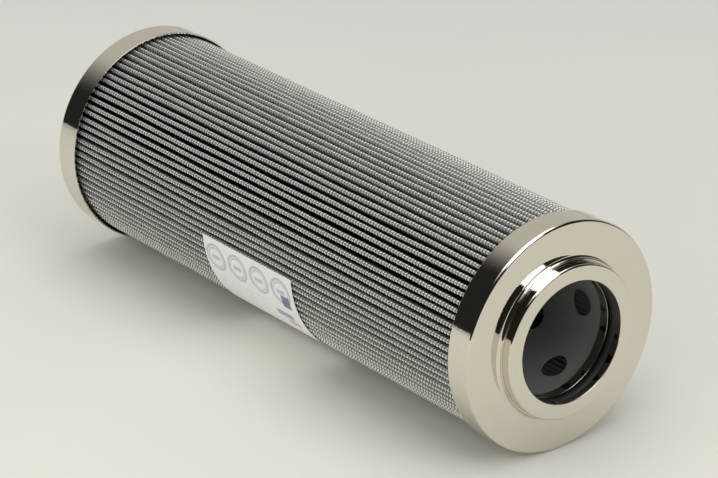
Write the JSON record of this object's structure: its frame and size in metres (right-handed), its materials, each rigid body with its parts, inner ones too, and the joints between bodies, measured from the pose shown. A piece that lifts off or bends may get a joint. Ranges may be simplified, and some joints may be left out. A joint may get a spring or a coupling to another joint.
{
  "type": "pleated filter element",
  "caption": "Cylindrical hydraulic filter element: pleated wire-mesh pack round a perforated tube, between two drawn steel end caps, with a sealed collar bore.",
  "frame": {"origin": "centre of the closed cap's outer face, on which the element stands", "axes": "+Z along the element's axis towards the open end; +X and +Y across it, the label lies between them"},
  "size_m": [0.078, 0.078, 0.2311],
  "materials": {
    "plated_steel": "bright nickel plate on drawn sheet",
    "tube_steel": "plain perforated sheet",
    "coated_wire_cloth": "satin epoxy coat on woven wire",
    "glass_fibre_medium": "matt glass-fibre mat",
    "potting": "cast adhesive",
    "seal_rubber": "moulded rubber",
    "label_paper": "smooth white paper"
  },
  "bodies": {
    "root": {"open_end_cap": "plated_steel", "seal_collar": "plated_steel", "spigot_seal": "seal_rubber", "open_end_potting": "potting", "outer_wire_mesh": "coated_wire_cloth", "filter_medium": "glass_fibre_medium", "inner_wire_mesh": "coated_wire_cloth", "centre_tube": "tube_steel", "closed_end_potting": "potting", "closed_end_cap": "plated_steel", "paper_label": "label_paper"}
  },
  "joints": []
}
